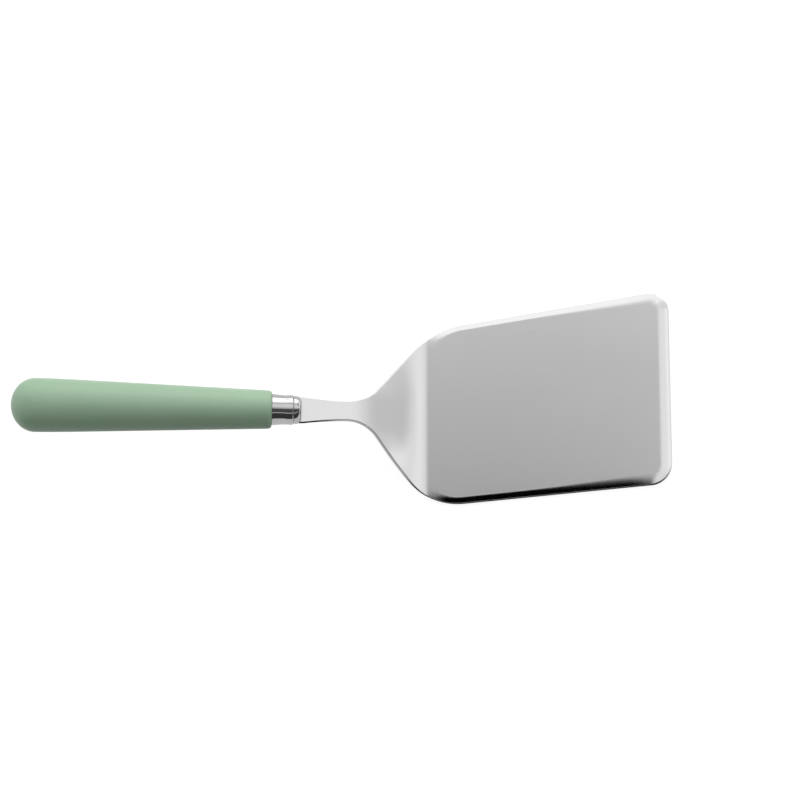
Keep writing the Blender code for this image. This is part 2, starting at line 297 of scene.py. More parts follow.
def new_finish(name):
    """A material, its Principled shader, and two functions that add and join its nodes."""
    material = bpy.data.materials.new(name)
    material.use_nodes = True
    tree = material.node_tree

    def join(node, inputs):
        for key, value in inputs.items():
            if isinstance(value, bpy.types.NodeSocket):
                tree.links.new(value, node.inputs[key])
            else:
                node.inputs[key].default_value = value

    def add(kind, inputs, **settings):
        node = tree.nodes.new("ShaderNode" + kind)
        for key, value in settings.items():
            setattr(node, key, value)
        join(node, inputs)
        return node

    return material, tree.nodes["Principled BSDF"], add, join


def eased(add, value, low, high):
    """A number that runs from low to high as value runs over noise's usual span."""
    spans = {"From Min": NOISE_LOW, "From Max": NOISE_HIGH, "To Min": low, "To Max": high}
    return add("MapRange", {"Value": value, **spans}).outputs["Result"]


def mixed(add, share, low, high):
    """low + (high - low) * share, for numbers, where low may be a socket."""
    return add("Mix", {0: share, 2: low, 3: high}).outputs[0]


def tinted(add, share, low, high):
    """The same mix for two colours."""
    return add("Mix", {0: share, 6: low, 7: high}, data_type="RGBA").outputs[2]


print("helpers ready")

# %% [markdown]
# ## Satin steel
#
# The blade is stainless steel, brushed along its length and then softened, so that single
# strokes hardly show. The ground facets are smoother than the plate. The stamped side edge is
# painted matt near-black, a painted dark reflection of the shaded floor beside it. The pattern
# is drawn on the flat layout, kept as a UV map in decimetres, so the strokes follow the metal
# round both bends. Two attributes of the mesh say where the facets and the painted dark edge
# are.

# %% Satin steel
STEEL = (0.580, 0.580, 0.580, 1)
STEEL_PALER = (0.600, 0.600, 0.600, 1)
# Matt near-black paint on the stamped side wall: a painted dark reflection of the shaded floor,
# not the steel's own colour.
PAINTED_DARK_EDGE = (0.014, 0.014, 0.015, 1)
SATIN_ROUGHNESS = (0.28, 0.30)
CLOUD_ROUGHNESS = (-0.01, 0.01)
GROUND_ROUGHNESS = 0.09
PAINTED_EDGE_ROUGHNESS = 0.5

steel, shader, add, join = new_finish("brushed_satin_steel")
layout = add("UVMap", {}, uv_map="flat_layout").outputs["UV"]
strokes_place = add("Mapping", {"Vector": layout, "Scale": (3, 900, 1)}).outputs["Vector"]
strokes_noise = {"Vector": strokes_place, "Scale": 1, "Detail": 4, "Roughness": 0.6}
strokes = add("TexNoise", strokes_noise).outputs["Fac"]
cloud_place = add("Mapping", {"Vector": layout, "Scale": (2.2, 5, 1)}).outputs["Vector"]
cloud_noise = {"Vector": cloud_place, "Scale": 1, "Detail": 2, "Roughness": 0.4}
cloud = add("TexNoise", cloud_noise).outputs["Fac"]
ground = add("Attribute", {}, attribute_name="ground").outputs["Fac"]
dark_paint_share = add("Attribute", {}, attribute_name="dark_paint_share").outputs["Fac"]
colour = tinted(add, strokes, STEEL, STEEL_PALER)
satin = eased(add, strokes, *SATIN_ROUGHNESS)
clouded = {0: satin, 1: eased(add, cloud, *CLOUD_ROUGHNESS)}
satin = add("Math", clouded, operation="ADD").outputs[0]
satin = mixed(add, ground, satin, GROUND_ROUGHNESS)
bump = add("Bump", {"Strength": 0.05, "Distance": 0.00002, "Height": strokes}).outputs["Normal"]
# Where the edge attribute is 1, the steel gives way to matt near-black paint: painted dark
# reflection on the stamped side.
join(
    shader,
    {
        "Base Color": tinted(add, dark_paint_share, colour, PAINTED_DARK_EDGE),
        "Metallic": mixed(add, dark_paint_share, 1.0, 0.0),
        "Specular IOR Level": 0.0,
        "Roughness": mixed(add, dark_paint_share, satin, PAINTED_EDGE_ROUGHNESS),
        "Normal": bump,
    },
)
print("nodes in the satin steel:", len(steel.node_tree.nodes))

# %% [markdown]
# ## The blade's outline on the flat layout
#
# Seen from above, the blank runs from the tang through a waisted shank, flares out in a fillet
# and a straight flank to the heel corner, and widens a little towards the rounded front
# corners. The outline is one half of it, as (along, half width) points, at first with plain
# straight runs and arcs, and then sampled again, closely where the metal bends or turns a
# corner and widely elsewhere.

# %% The blade's outline
FRONT_WIDTH = 0.0870
HEEL_WIDTH = 0.0811
FLARE_LENGTH = 0.0302
WAIST_WIDTH = 0.0087
SHANK_END_WIDTH = 0.0114
NECK_FILLET_RADIUS = 0.0178
HEEL_CORNER_RADIUS = 0.0330
FRONT_CORNER_RADIUS = 0.0090
SHANK_SEAT = 0.0030
STEP_LENGTH = 0.0010
TANG_WIDTH = 0.0050
TANG_LENGTH = 0.0620
TANG_TIP_WIDTH = 0.0030
TANG_TIP_LENGTH = 0.0040
ARC_POINTS = 60
SHANK_POINTS = 60
DENSE_POINTS = 8000
FINE_STEP = 0.00045
WIDE_STEP = 0.0012
FINE_BEYOND_TANG = 0.002
FINE_BEYOND_HEEL = 0.004
FINE_BEYOND_CORNER = 0.001


def corner_arc(before, corner, after, radius):
    """Points of the arc that touches both legs: centre + radius * (cos, sin) of the turn."""
    first_leg = (before - corner) / np.linalg.norm(before - corner)
    last_leg = (after - corner) / np.linalg.norm(after - corner)
    half = np.arccos(first_leg @ last_leg) / 2
    start = corner + first_leg * radius / np.tan(half)
    middle = (first_leg + last_leg) / np.linalg.norm(first_leg + last_leg)
    centre = corner + middle * radius / np.sin(half)
    turn = np.linspace(0, pi - 2 * half, ARC_POINTS)[:, None]
    return centre + (start - centre) * np.cos(turn) - first_leg * radius * np.sin(turn)


def resampled(points, step_at):
    """Points along the same line, at equal steps of the sum of ds / step_at(points)."""
    run = np.concatenate([[0], np.cumsum(np.linalg.norm(np.diff(points, axis=0), axis=1))])

    def on_line(places):
        return np.stack([np.interp(places, run, points[:, axis]) for axis in (0, 1)], axis=1)

    dense = np.linspace(0, run[-1], DENSE_POINTS)
    count = np.concatenate([[0], np.cumsum(np.diff(dense) / step_at(on_line(dense))[1:])])
    return on_line(np.interp(np.linspace(0, count[-1], int(count[-1]) + 2), count, dense))


waist = np.array([-FLARE_LENGTH - NECK_FILLET_RADIUS, WAIST_WIDTH / 2])
flare_foot = np.array([-FLARE_LENGTH, WAIST_WIDTH / 2])
heel = np.array([0, HEEL_WIDTH / 2])
front = np.array([PLATE_LENGTH, FRONT_WIDTH / 2])
front_middle = np.array([PLATE_LENGTH, 0])
neck_fillet = corner_arc(waist, flare_foot, heel, NECK_FILLET_RADIUS)
heel_corner = corner_arc(flare_foot, heel, front, HEEL_CORNER_RADIUS)
front_corner = corner_arc(heel, front, front_middle, FRONT_CORNER_RADIUS)
shoulder = shank_end - SHANK_SEAT
tang = np.array(
    [
        (shoulder - TANG_LENGTH, TANG_TIP_WIDTH / 2),
        (shoulder - TANG_LENGTH + TANG_TIP_LENGTH, TANG_WIDTH / 2),
        (shoulder, TANG_WIDTH / 2),
        (shoulder + STEP_LENGTH, SHANK_END_WIDTH / 2),
    ]
)
share = np.linspace(0, 1, SHANK_POINTS)[:-1]
shank_along = shank_end + (neck_fillet[0, 0] - shank_end) * share
shank_half = WAIST_WIDTH / 2 + (SHANK_END_WIDTH - WAIST_WIDTH) / 2 * (1 - share) ** 2
shank = np.stack([shank_along, shank_half], axis=1)
outline = np.concatenate([tang, shank, neck_fillet, heel_corner, front_corner])
outline[:, 1] = np.minimum(outline[:, 1], cad_box[1][1])


def step_at(line):
    """Fine in the bends, the shank and the front corners, and wide on straight runs."""
    bent = (line[:, 0] > shoulder - FINE_BEYOND_TANG) & (line[:, 0] < FINE_BEYOND_HEEL)
    cornered = line[:, 0] > PLATE_LENGTH - FRONT_CORNER_RADIUS - FINE_BEYOND_CORNER
    return np.where(bent | cornered, FINE_STEP, WIDE_STEP)


outline = resampled(outline, step_at)
print(f"outline: {len(outline)} points, widest {2000 * outline[:, 1].max():.2f} mm")

# %% [markdown]
# ## Facets and rounded edges
#
# The plate's upper face is ground to a shallow facet along both sides and the front. The
# crease is crisp along the sides and grows soft over the front seven centimetres, where a
# grinding belt wraps round the corners. The front facet is wider and has a soft crease of its
# own. The near side's facet levels out towards its front corner, and at the heel corners both
# roll off into the neck. Along the neck's flanks there is no facet, but the polisher has taken
# off more of the rim, and less of the stamped side gets the painted dark reflection there.
#
# A section through the edge, from the flat face over the crease, the rounded rim and the
# stamped side to the underside, is carried round the whole outline. Modelling the facets with
# a Bevel modifier would be shorter, but it couldn't change the crease's softness on the way.

# %% The section through the edge
FACET_ANGLE = radians(14)
FACET_BEGIN = (-0.0060, 0.0120)
FRONT_FACET = 0.0040
SIDE_FACET_FRONT = 0.0027
SIDE_FACET_HEEL = 0.0022
HEEL_ROLL_WIDTH = 0.0028
HEEL_ROLL = (-0.0070, 0.0130)
CRISP_SIDE_CREASE = 0.00035
SOFT_SIDE_CREASE = 0.0024
SIDE_SOFTENING = (PLATE_LENGTH - 0.0700, PLATE_LENGTH)
FRONT_CREASE = 0.0016
HEEL_CREASE_SHARE = 0.95
RIM_RADIUS = 0.00015
NECK_RIM_RADIUS = 0.0004
NECK_RIM = (-0.0140, -0.0040)
SHANK_RIM = (-0.0520, -0.0400)
UNDERSIDE_START = 1.3 * RIM_RADIUS
PLATE_POINTS = 10
CREASE_POINTS = 11
RIM_POINTS = 9


def heel_share(along):
    """1 behind the heel corner, 0 ahead of it, eased in between."""
    return 1 - smooth_between(along, HEEL_ROLL)


def facet_width(along, forwards):
    """The facet's width from the rim: the side's, blended to the front's and the heel's."""
    ahead = np.maximum(along, 0) / PLATE_LENGTH
    side = SIDE_FACET_HEEL + (SIDE_FACET_FRONT - SIDE_FACET_HEEL) * ahead
    side += (HEEL_ROLL_WIDTH - side) * heel_share(along)
    return side + (FRONT_FACET - side) * smooth_share(np.maximum(forwards, 0))


def facet_slope(along):
    """Slope of the facet, which levels out round the heel corner."""
    return tan(FACET_ANGLE) * smooth_between(along, FACET_BEGIN)


def crease_softness(along, facet, forwards):
    """Half the width over which plate and facet blend into each other."""
    nearing_front = smooth_between(along, SIDE_SOFTENING)
    soft = CRISP_SIDE_CREASE + (SOFT_SIDE_CREASE - CRISP_SIDE_CREASE) * nearing_front
    soft += (FRONT_CREASE - soft) * smooth_share(np.maximum(forwards, 0))
    return soft + (HEEL_CREASE_SHARE * facet - soft) * heel_share(along)


def neck_share(along):
    """1 along the neck's flanks, eased to 0 at the shank and at the heel corners."""
    return smooth_between(along, SHANK_RIM) * (1 - smooth_between(along, NECK_RIM))


def rim_radius(along):
    """Radius of the upper rim, which the polisher rounds most along the neck's flanks."""
    return RIM_RADIUS + (NECK_RIM_RADIUS - RIM_RADIUS) * neck_share(along)


def facet_drop(inside, facet, soft, slope):
    """How far the upper face has dropped at a distance inside the rim.

    Beyond the blend it is 0, before it the plain slope, and within it the parabola that is
    tangent to both: (facet + soft - inside)^2 / (4 soft), all times the facet's slope.
    """
    depth = facet - inside
    blend = np.clip(depth + soft, 0, 2 * soft) ** 2 / (4 * soft)
    return slope * np.where(depth > soft, depth, blend)


def rim_section(facet, soft, slope, reach, radius, dark_paint_start):
    """Distance inside the rim, height, share painted dark and ground share, along the section.
    """
    parts = (facet, soft, slope, reach, radius, dark_paint_start)
    facet, soft, slope, reach, radius, dark_paint_start = [part[:, None] for part in parts]
    crease = facet + soft * np.linspace(1, -1, CREASE_POINTS)
    plate = reach + (crease[:, :1] - reach) * np.linspace(0, 1, PLATE_POINTS)[:-1]
    turn = np.linspace(0, pi / 2, RIM_POINTS)
    inner = np.concatenate([plate, crease], axis=1)
    upper_rim = radius * (1 - np.sin(turn))
    inside = np.concatenate([inner, upper_rim], axis=1)
    top = SHEET - facet_drop(inside, facet, soft, slope)
    top[:, inner.shape[1]:] -= radius * (1 - np.cos(turn))
    lower_rim = RIM_RADIUS * (1 - np.cos(turn)) + 0 * facet
    lower_height = RIM_RADIUS * (1 - np.sin(turn)) + 0 * facet
    inside = np.concatenate([inside, lower_rim, 0 * reach + UNDERSIDE_START, reach], axis=1)
    height = np.concatenate([top, lower_height, 0 * reach, 0 * reach], axis=1)
    # Share painted near-black over the lower part of the rim's turn and the stamped side:
    # painted dark reflection of the shaded floor.
    cut = smooth_share((turn / (pi / 2) - dark_paint_start) / (1 - dark_paint_start))
    dark_paint_share = np.concatenate([0 * inner, cut, 1 + 0 * cut, 0 * reach, 0 * reach], axis=1)
    ground = np.clip((facet + soft - inside) / (2 * soft), 0, 1)
    return inside, height, dark_paint_share, ground


half_crease = crease_softness(PLATE_LENGTH / 2, SIDE_FACET_FRONT, 0)
print(f"crease at the middle of the side: {2000 * half_crease:.2f} mm wide")

# %% [markdown]
# ## The blade
#
# The outline is closed into a loop: one side, the front edge, the other side and the tang's
# tip. The edge's section times that loop is one grid. What lies inside it is ruled straight
# across, above and below, which gives two more: the upper one from right to left, so that its
# faces look up, and the lower one from left to right, so that they look down. Then all of it is
# bent. At the step from shank to tang, hidden in the bolster, the section reaches in by less
# than half a millimetre, because longer ones would cross each other there.

# %% The blade
RIM_REACH = 0.0075
REACH_SHARE = 0.45
STEP_REACH = 0.0003
STEP_ZONE = (0.0015, 0.0045)
PLATE_COLUMNS = 24
WIDEST_FACET_SHARE = 0.47
LEAST_FACET_IN_RIMS = 1.25
LEAST_CREASE_IN_RIMS = 1.05
# Where the painted dark reflection begins on the rim's turn, on the plate and on the neck, how
# much less of it the flanks get, and how it fades towards the front.
DARK_PAINT_START_ON_PLATE = 0.45
DARK_PAINT_START_ON_NECK = 0.85
FLANK_DARK_PAINT_CUT = 0.80
NEAR_FADE = 0.70
NEAR_FADE_RUN = (0.0780, 0.1060)
GROUND_BEGIN = (0.0010, 0.0090)
CORNER_DULLING = 0.7
CORNER_DULLING_RUN = (PLATE_LENGTH - 0.0200, PLATE_LENGTH - 0.0040)
CORNER_DULLING_POWER = 4
DARK_PAINT_FADE_POWER = 2
DECIMETRES_A_METRE = 10


def blade_loop(outline):
    """The closed loop of rim points, their outward normals, and the reach of the rim's grid.

    The outline's last normal looks straight forwards, and its first is the tang tip's mitre.
    """
    heading = np.gradient(outline, axis=0)
    heading /= np.linalg.norm(heading, axis=1)[:, None]
    normal = np.stack([-heading[:, 1], heading[:, 0]], axis=1)
    normal[-1] = (1, 0)
    normal[0] = (-1, 1)
    reach = np.minimum(RIM_REACH, REACH_SHARE * outline[:, 1])
    from_step = smooth_between(np.abs(outline[:, 0] - shoulder), STEP_ZONE)
    reach = STEP_REACH + (reach - STEP_REACH) * from_step
    column = np.linspace(1, -1, PLATE_COLUMNS + 1)[1:-1]
    front_across = outline[-1, 1] * column
    tip_across = -(outline[0, 1] - reach[0]) * column
    mirror = np.array([1, -1])
    front_edge = np.stack([np.full_like(column, PLATE_LENGTH), front_across], axis=1)
    tip_edge = np.stack([np.full_like(column, outline[0, 0]), tip_across], axis=1)
    forwards = np.tile([1.0, 0.0], (len(column), 1))
    rim = np.concatenate([outline, front_edge, outline[::-1] * mirror, tip_edge])
    normals = np.concatenate([normal, forwards, normal[::-1] * mirror, -forwards])
    ends = np.full(len(column), 1.0)
    reaches = np.concatenate([reach, ends * reach[-1], reach[::-1], ends * reach[0]])
    return rim, normals, reaches


rim, normals, reaches = blade_loop(outline)
place_along = rim[:, 0]
radii = rim_radius(place_along)
facets = np.minimum(facet_width(place_along, normals[:, 0]), WIDEST_FACET_SHARE * reaches)
facets = np.maximum(facets, LEAST_FACET_IN_RIMS * radii)
softness = crease_softness(place_along, facets, normals[:, 0])
softness = np.minimum(softness, facets - LEAST_CREASE_IN_RIMS * radii)
neck = neck_share(place_along)
# Where on the rim's turn the painted dark reflection begins: later along the neck.
dark_paint_starts = DARK_PAINT_START_ON_PLATE + (DARK_PAINT_START_ON_NECK - DARK_PAINT_START_ON_PLATE) * neck
fading = smooth_between(place_along, NEAR_FADE_RUN) * (rim[:, 1] < 0)
fading = fading * (1 - smooth_share(np.maximum(normals[:, 0], 0)))
slopes = facet_slope(place_along) * (1 - NEAR_FADE * fading)
inside, height, dark_paint_share, ground = rim_section(facets, softness, slopes, reaches, radii, dark_paint_starts)
rim_along = rim[:, 0, None] - normals[:, 0, None] * inside
rim_across = rim[:, 1, None] - normals[:, 1, None] * inside
# The painted dark reflection fades where the side wall faces forwards, and thins along the
# neck's flanks.
dark_paint_share *= 1 - np.maximum(normals[:, 0, None], 0) ** DARK_PAINT_FADE_POWER
dark_paint_share *= 1 - FLANK_DARK_PAINT_CUT * neck[:, None]
sideways = 1 - normals[:, 0, None] ** CORNER_DULLING_POWER
cornering = np.clip(smooth_between(rim_along, CORNER_DULLING_RUN) * sideways, 0, 1)
ground *= smooth_between(rim_along, GROUND_BEGIN) * (1 - CORNER_DULLING * cornering)

side_points = len(outline)
inner_along = rim_along[:side_points, 0]
inner_across = rim_across[:side_points, 0]
columns = np.linspace(1, -1, PLATE_COLUMNS + 1)
plate_along = np.repeat(inner_along[:, None], PLATE_COLUMNS + 1, axis=1)
plate_across = inner_across[:, None] * columns

grids, flat_places, dark_paint_share_all, ground_all = [], [], [], []
for along, across, level, edge, facet, looped in (
    (rim_along, rim_across, height, dark_paint_share, ground, True),
    (plate_along, plate_across[:, ::-1], SHEET, 0 * plate_along, 0 * plate_along, False),
    (plate_along, plate_across, 0.0, 0 * plate_along, 0 * plate_along, False),
):
    grids.append((bent_sheet(along, across, level), looped, False))
    flat_places.append(DECIMETRES_A_METRE * np.stack([along, across], axis=-1).reshape(-1, 2))
    dark_paint_share_all.append(edge.ravel())
    ground_all.append(facet.ravel())
traits = {"dark_paint_share": np.concatenate(dark_paint_share_all), "ground": np.concatenate(ground_all)}
flat_places = np.concatenate(flat_places)
add_piece("satin_blade", grids, "blade", steel, traits, flat_places)

# %% [markdown]
# ## Turned pieces
#
# Bolster, ferrule and handle are round about one axis, which leaves the shank at the handle's
# angle. A turned piece is a profile of (radius, place) points carried round that axis. Places
# run along it from the bolster's tip, and each piece's own cell gives its profile.

# %% The handle's axis
AXIS = np.array([-cos(HANDLE_ANGLE), 0, sin(HANDLE_ANGLE)])
SHEET_NORMAL = np.array([sin(HANDLE_ANGLE), 0, cos(HANDLE_ANGLE)])
ACROSS = np.array([0.0, 1.0, 0.0])
AXIS_START = bent_sheet(shank_end, 0, SHEET / 2)
AROUND = 144


def on_axis(upwards, across, place):
    """World points: start + upwards * sheet normal + across * y + place * axis."""
    parts = np.broadcast_arrays(upwards, across, place)
    up, sideways, back = [part[..., None] for part in parts]
    return AXIS_START + up * SHEET_NORMAL + sideways * ACROSS + back * AXIS


def turned(profile):
    """Grid of a profile carried round the axis: (radius cos a, radius sin a, place)."""
    angle = np.linspace(0, 2 * pi, AROUND, endpoint=False)
    radius, place = np.array(profile).T[..., None]
    return on_axis(radius * np.cos(angle), radius * np.sin(angle), place + 0 * angle)


def quarter(radius_from, radius_to, place_from, place_to, count):
    """Quarter ellipse: the radius grows with the sine, the place closes in with the cosine."""
    angle = np.linspace(0, pi / 2, count)
    radius = radius_from + (radius_to - radius_from) * np.sin(angle)
    return np.stack([radius, place_to + (place_from - place_to) * np.cos(angle)], axis=1)


print("axis starts at", np.round(AXIS_START, 4))

# %% [markdown]
# ## Sage resin
#
# The handle is moulded in an opaque sage-green resin with a satin skin, as a mould with a
# lightly etched wall leaves it: no sharp highlight, but a soft sheen along the top. The colour
# wanders by a few hundredths, and a very fine grain breaks the sheen.

# %% Sage resin
SAGE = (0.364, 0.551, 0.377, 1)
SAGE_PALER = (0.386, 0.573, 0.398, 1)
RESIN_ROUGHNESS = (0.40, 0.50)
GRAIN_DRIFT = (0, 0.4)

resin, shader, add, join = new_finish("moulded_sage_resin")
place = add("TexCoord", {}).outputs["Object"]
drift_noise = {"Vector": place, "Scale": 55, "Detail": 3, "Roughness": 0.5}
drift = add("TexNoise", drift_noise).outputs["Fac"]
grain_noise = {"Vector": place, "Scale": 2600, "Detail": 2, "Roughness": 0.5}
grain = add("TexNoise", grain_noise).outputs["Fac"]
drifting = {0: grain, 1: eased(add, drift, *GRAIN_DRIFT)}
grain_height = add("Math", drifting, operation="ADD").outputs[0]
grain_bump = {"Strength": 0.10, "Distance": 0.00003, "Height": grain_height}
join(
    shader,
    {
        "Base Color": tinted(add, eased(add, drift, 0, 1), SAGE, SAGE_PALER),
        "Roughness": eased(add, grain, *RESIN_ROUGHNESS),
        "IOR": 1.5,
        "Normal": add("Bump", grain_bump).outputs["Normal"],
    },
)
print("nodes in the sage resin:", len(resin.node_tree.nodes))

# %% [markdown]
# ## The handle
#
# Outside it is a blunt half-ellipse at the butt, a long taper that swells like an old turned
# handle, and a rounded shoulder at the ferrule. Inside, the same profile goes on over the
# spigot that the ferrule sits on and down the blind bore that takes the tang.

# %% The handle
DOME_BASE = 0.0043
BOLSTER_SPIGOT = 0.0030
FERRULE_LENGTH = 0.0088
FERRULE_BORE_RADIUS = 0.0055
CLEARANCE = 0.0003
SEAM = 0.00006
HANDLE_LENGTH = 0.1126
SKIN_TRIM = 0.00003
HANDLE_WIDEST_RADIUS = 0.0117 - SKIN_TRIM
HANDLE_END_RADIUS = 0.00835
HANDLE_FACE_RADIUS = 0.0073
END_ROUND_LENGTH = 0.0022
BUTT_LENGTH = 0.0105
TAPER_POWER = 14
BORE_RADIUS = 0.0038
ADHESIVE_END = 0.0030
BUTT_POINTS = 36
TAPER_POINTS = 70
END_ROUND_POINTS = 16

FERRULE_NOSE = DOME_BASE + CLEARANCE
FERRULE_LIP = FERRULE_NOSE + FERRULE_LENGTH
HANDLE_FACE = FERRULE_LIP + CLEARANCE
HANDLE_BUTT = HANDLE_FACE + HANDLE_LENGTH - SKIN_TRIM
SPIGOT_FACE = DOME_BASE + BOLSTER_SPIGOT + CLEARANCE
TANG_END = SHANK_SEAT + TANG_LENGTH
BORE_END = TANG_END + ADHESIVE_END + CLEARANCE

widest = HANDLE_BUTT - BUTT_LENGTH
end_round = HANDLE_FACE + END_ROUND_LENGTH
share = np.linspace(1, 0, TAPER_POINTS)[1:-1]
taper = share + (share - share**TAPER_POWER) / (TAPER_POWER - 1)
taper_radius = HANDLE_END_RADIUS + (HANDLE_WIDEST_RADIUS - HANDLE_END_RADIUS) * taper
spigot_radius = FERRULE_BORE_RADIUS - CLEARANCE
face_edge = (HANDLE_FACE_RADIUS, HANDLE_END_RADIUS, HANDLE_FACE, end_round)
handle_profile = np.concatenate(
    [
        quarter(0, HANDLE_WIDEST_RADIUS, HANDLE_BUTT, widest, BUTT_POINTS),
        np.stack([taper_radius, end_round + (widest - end_round) * share], axis=1),
        quarter(*face_edge, END_ROUND_POINTS)[::-1],
        [
            (spigot_radius, HANDLE_FACE),
            (spigot_radius, SPIGOT_FACE),
            (BORE_RADIUS, SPIGOT_FACE),
            (BORE_RADIUS, BORE_END),
            (0, BORE_END),
        ],
    ]
)
handle_grids = [(turned(handle_profile), False, True)]
add_piece("moulded_handle", handle_grids, "handle", resin)

# %% [markdown]
# ## Bright chrome
#
# Ferrule and bolster are polished and plated, so they show the room: a white band from the
# lamps behind, and a dark one from the cards at the front. Real plating is never quite even,
# so the roughness wanders a little, and hair-fine turning marks run round the axis. A Mapping
# node turns the pattern's own axes to the handle's.

# %% Bright chrome
CHROME = (0.425, 0.425, 0.430, 1)
CHROME_DIMMER = (0.400, 0.400, 0.405, 1)
CHROME_ROUGHNESS = (0.06, 0.10)

chrome, shader, add, join = new_finish("plated_chrome")
place = add("TexCoord", {}).outputs["Object"]
to_axis = {"Vector": place, "Rotation": (0, pi / 2 - HANDLE_ANGLE, 0)}
axis_place = add("Mapping", to_axis).outputs["Vector"]
ring_place = add("Mapping", {"Vector": axis_place, "Scale": (60, 60, 9000)}).outputs["Vector"]
rings_noise = {"Vector": ring_place, "Scale": 1, "Detail": 3, "Roughness": 0.6}
rings = add("TexNoise", rings_noise).outputs["Fac"]
rings_bump = {"Strength": 0.05, "Distance": 0.00001, "Height": rings}
haze_noise = {"Vector": place, "Scale": 420, "Detail": 3, "Roughness": 0.5}
haze = add("TexNoise", haze_noise).outputs["Fac"]
join(
    shader,
    {
        "Base Color": tinted(add, eased(add, haze, 0, 1), CHROME, CHROME_DIMMER),
        "Metallic": 1.0,
        "Roughness": eased(add, haze, *CHROME_ROUGHNESS),
        "Normal": add("Bump", rings_bump).outputs["Normal"],
    },
)
print("nodes in the chrome:", len(chrome.node_tree.nodes))

# %% [markdown]
# ## The ferrule
#
# A sleeve pressed from tube: its nose is rolled to a small radius, its side is waisted very
# slightly, and it flares gently, by half a millimetre, to a lip where the handle begins. The
# profile goes once round its wall, so the grid is closed in both directions. The seams to its
# neighbours are drawn as thin as they look, six hundredths of a millimetre.

# %% The ferrule
FERRULE_NOSE_RADIUS = 0.00655
FERRULE_WAIST_RADIUS = 0.0064
FERRULE_LIP_RADIUS = 0.0069
FERRULE_FLARE = 0.0060
FERRULE_EDGE_RADIUS = 0.0004
LIP_ROUND = 0.00012
FLARE_POWER = 1.5
LIP_POINTS = 6
FLARE_POINTS = 24
NOSE_POINTS = 9

nose, lip = DOME_BASE + SEAM, HANDLE_FACE - SEAM
nose_inner_radius = FERRULE_NOSE_RADIUS - FERRULE_EDGE_RADIUS
nose_edge = (nose_inner_radius, FERRULE_NOSE_RADIUS, nose, nose + FERRULE_EDGE_RADIUS)
lip_edge = (FERRULE_LIP_RADIUS - LIP_ROUND, FERRULE_LIP_RADIUS, lip, lip - LIP_ROUND)
flare_start = FERRULE_LIP - FERRULE_FLARE
share = np.linspace(1, 0, FLARE_POINTS)
flare_depth = FERRULE_LIP_RADIUS - FERRULE_WAIST_RADIUS
flare_radius = FERRULE_WAIST_RADIUS + flare_depth * share**FLARE_POWER
flare_place = flare_start + (lip - LIP_ROUND - flare_start) * share
ferrule_profile = np.concatenate(
    [
        [(FERRULE_BORE_RADIUS, lip)],
        quarter(*lip_edge, LIP_POINTS),
        np.stack([flare_radius, flare_place], axis=1)[1:],
        quarter(*nose_edge, NOSE_POINTS)[::-1],
        [(FERRULE_BORE_RADIUS, nose)],
    ]
)
ferrule_grids = [(turned(ferrule_profile), True, True)]
add_piece("flared_ferrule", ferrule_grids, "ferrule", chrome)

# %% [markdown]
# ## The bolster
#
# A small blunt dome, cut off flat at its tip, closes the ferrule's nose, and the shank enters
# it through a slot. Cutting the slot with a Boolean leaves ragged shading on a dome, so the
# dome is drawn round its slot: each row of points is a share of the way from the slot's
# rectangle to the rim's circle, and its height is the dome's own. The same loops then go down
# the back, round the spigot, and home through the tang's narrower slot.

# %% The bolster
DOME_RADIUS = 0.00615
DOME_RISE = 0.0035
DOME_REACH = 0.0043
DOME_POWER = 3.0
DOME_TURN = 16.0
SLOT_HALF_WIDTH = SHANK_END_WIDTH / 2 + SEAM
SLOT_HALF_THICKNESS = SHEET / 2 + SEAM
TANG_SLOT_HALF_WIDTH = TANG_WIDTH / 2 + CLEARANCE
BASE_ROUND = 0.00025
LOOP_STEPS = 160
DOME_POINTS = 40
BASE_ROUND_POINTS = 6
LEAST_LEFT = 1e-6


def circle_loop(radius):
    """Circle round the axis, as arrays of how far up and how far across its points are."""
    angle = np.linspace(0, 2 * pi, LOOP_STEPS, endpoint=False)
    return radius * np.sin(angle), radius * np.cos(angle)


def slot_loop(half_width):
    """Rectangle of a slot, met by every direction: the circle's points, clipped to its sides."""
    upwards, across = circle_loop(DOME_RADIUS)
    flattest = np.sqrt(DOME_RADIUS**2 - SLOT_HALF_THICKNESS**2)
    upwards = np.clip(upwards, -SLOT_HALF_THICKNESS, SLOT_HALF_THICKNESS)
    return upwards, np.clip(half_width * across / flattest, -half_width, half_width)


def dome_place(radius):
    """Place of the dome's surface: a blunt ellipse, cut off flat where it has risen enough.

    The ellipse is reach * (1 - (r / R)^p)^(1 / p), and a high power n blends it with the flat:
    height = (ellipse^-n + rise^-n)^(-1 / n).
    """
    left = np.maximum(1 - (radius / DOME_RADIUS) ** DOME_POWER, LEAST_LEFT)
    ellipse = DOME_REACH * left ** (1 / DOME_POWER)
    height = (ellipse**-DOME_TURN + DOME_RISE**-DOME_TURN) ** (-1 / DOME_TURN)
    return DOME_BASE - BASE_ROUND - height * (1 - BASE_ROUND / DOME_RISE)


wide_up, wide_across = slot_loop(SLOT_HALF_WIDTH)
narrow_up, narrow_across = slot_loop(TANG_SLOT_HALF_WIDTH)
rim_up, rim_sideways = circle_loop(DOME_RADIUS)
outwards = np.sin(np.linspace(0, pi / 2, DOME_POINTS))[:, None]
dome_up = wide_up + (rim_up - wide_up) * outwards
dome_across = wide_across + (rim_sideways - wide_across) * outwards
dome = on_axis(dome_up, dome_across, dome_place(np.hypot(dome_up, dome_across)))

